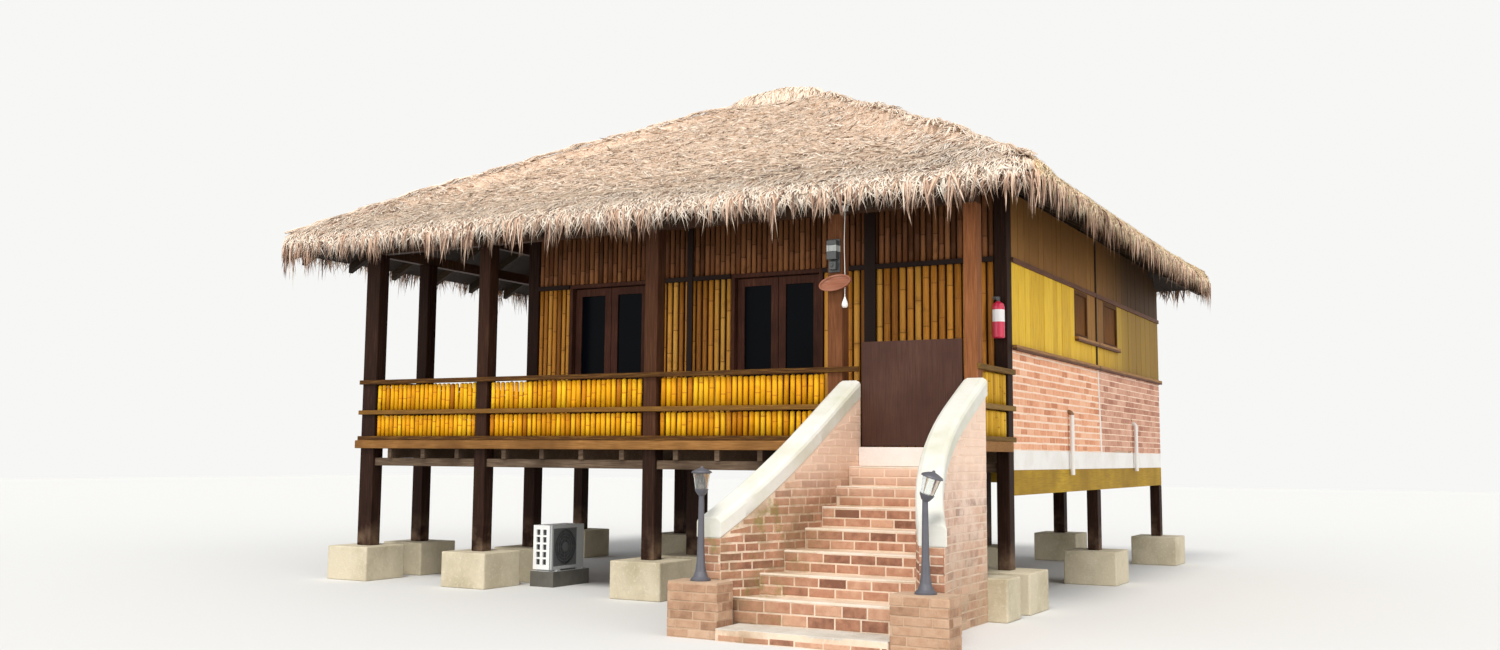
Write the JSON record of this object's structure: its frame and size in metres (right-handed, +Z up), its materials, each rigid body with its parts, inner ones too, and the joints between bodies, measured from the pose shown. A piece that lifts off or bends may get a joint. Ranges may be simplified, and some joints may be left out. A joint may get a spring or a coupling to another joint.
{
  "type": "stilt house",
  "caption": "Timber and bamboo house on posts with a thatched hip roof, a railed verandah, glazed double doors and a flared brick stair with a gate.",
  "frame": {"origin": "on the ground, below the middle of the box round the roof and the stair", "axes": "+Z up, +Y to the rear of the house, +X to the right as seen from the front"},
  "size_m": [9.66, 10.6, 6.4388],
  "materials": {
    "concrete": "cast, stained",
    "dark_timber": "oiled",
    "tan_timber": "oiled",
    "deck_wood": "worn",
    "bamboo": "varnished",
    "bamboo_wall": "varnished",
    "gold_boards": "varnished",
    "brick": "fair faced with pale mortar",
    "plaster": "painted",
    "glass": "dark",
    "gate_wood": "satin paint",
    "iron": "black",
    "roof_pole": "rough",
    "thatch": "dry leaf strands",
    "lamp_metal": "satin",
    "lamp_glass": "clear",
    "white_plastic": "gloss",
    "white_metal": "satin",
    "grey_plastic": "matt",
    "sign_wood": "oiled",
    "red_metal": "gloss"
  },
  "bodies": {
    "house": {"footings": "concrete", "posts": "dark_timber", "bearers": "tan_timber", "joists": "tan_timber", "verandah_deck": "deck_wood", "room_floor": "deck_wood", "floor_rim": "tan_timber", "front_balustrade": "bamboo", "left_balustrade": "bamboo", "rear_balustrade": "bamboo", "right_balustrade": "bamboo", "front_wall_left": "bamboo_wall", "front_wall_middle": "bamboo_wall", "front_wall_right": "bamboo_wall", "front_wall_top": "bamboo_wall", "left_wall": "bamboo_wall", "rear_brick_wall": "brick", "rear_board_wall": "gold_boards", "right_brick_wall": "brick", "right_board_wall": "gold_boards", "floor_band": "plaster", "side_fascia": "tan_timber", "wall_battens": "dark_timber", "window_frames": "dark_timber", "window_glass": "glass", "door_frames": "dark_timber", "hinges": "iron", "eave_beams": "dark_timber", "rafters": "roof_pole", "hip_rafters": "roof_pole", "ridge_beam": "roof_pole", "thatch_front": "thatch", "thatch_rear": "thatch", "thatch_left": "thatch", "thatch_right": "thatch", "eave_fringe": "thatch", "ridge_cap": "thatch", "stair_steps": "brick", "stair_top_riser": "plaster", "stair_parapets": "brick", "parapet_copings": "plaster", "stair_piers": "brick", "lamp_posts": "lamp_metal", "lamp_globes": "lamp_glass", "drain_pipes": "white_plastic", "aircon_unit": "white_metal", "meter_box": "grey_plastic", "hanging_sign": "sign_wood", "lamp_holder": "white_plastic", "lamp_cord": "white_plastic", "fire_extinguisher": "red_metal"},
    "door_a_left": {"door_a_left": "dark_timber", "glass_a_left": "glass"},
    "door_a_right": {"door_a_right": "dark_timber", "glass_a_right": "glass"},
    "door_b_left": {"door_b_left": "dark_timber", "glass_b_left": "glass"},
    "door_b_right": {"door_b_right": "dark_timber", "glass_b_right": "glass"},
    "gate": {"gate_panel": "gate_wood"}
  },
  "joints": [
    {"name": "door_a_left_hinge", "type": "hinge", "parent": "house", "child": "door_a_left", "pos_m": [-1.211, -1.942, 1.58], "axis": [0, 0, 1], "range_deg": [0, 90]},
    {"name": "door_a_right_hinge", "type": "hinge", "parent": "house", "child": "door_a_right", "pos_m": [-0.189, -1.942, 1.58], "axis": [0, 0, -1], "range_deg": [0, 90]},
    {"name": "door_b_left_hinge", "type": "hinge", "parent": "house", "child": "door_b_left", "pos_m": [0.984, -1.942, 1.58], "axis": [0, 0, 1], "range_deg": [0, 90]},
    {"name": "door_b_right_hinge", "type": "hinge", "parent": "house", "child": "door_b_right", "pos_m": [2.006, -1.942, 1.58], "axis": [0, 0, -1], "range_deg": [0, 90]},
    {"name": "gate_hinge", "type": "hinge", "parent": "house", "child": "gate", "pos_m": [3.916, -2.958, 1.578], "axis": [0, 0, 1], "range_deg": [0, 90]}
  ]
}
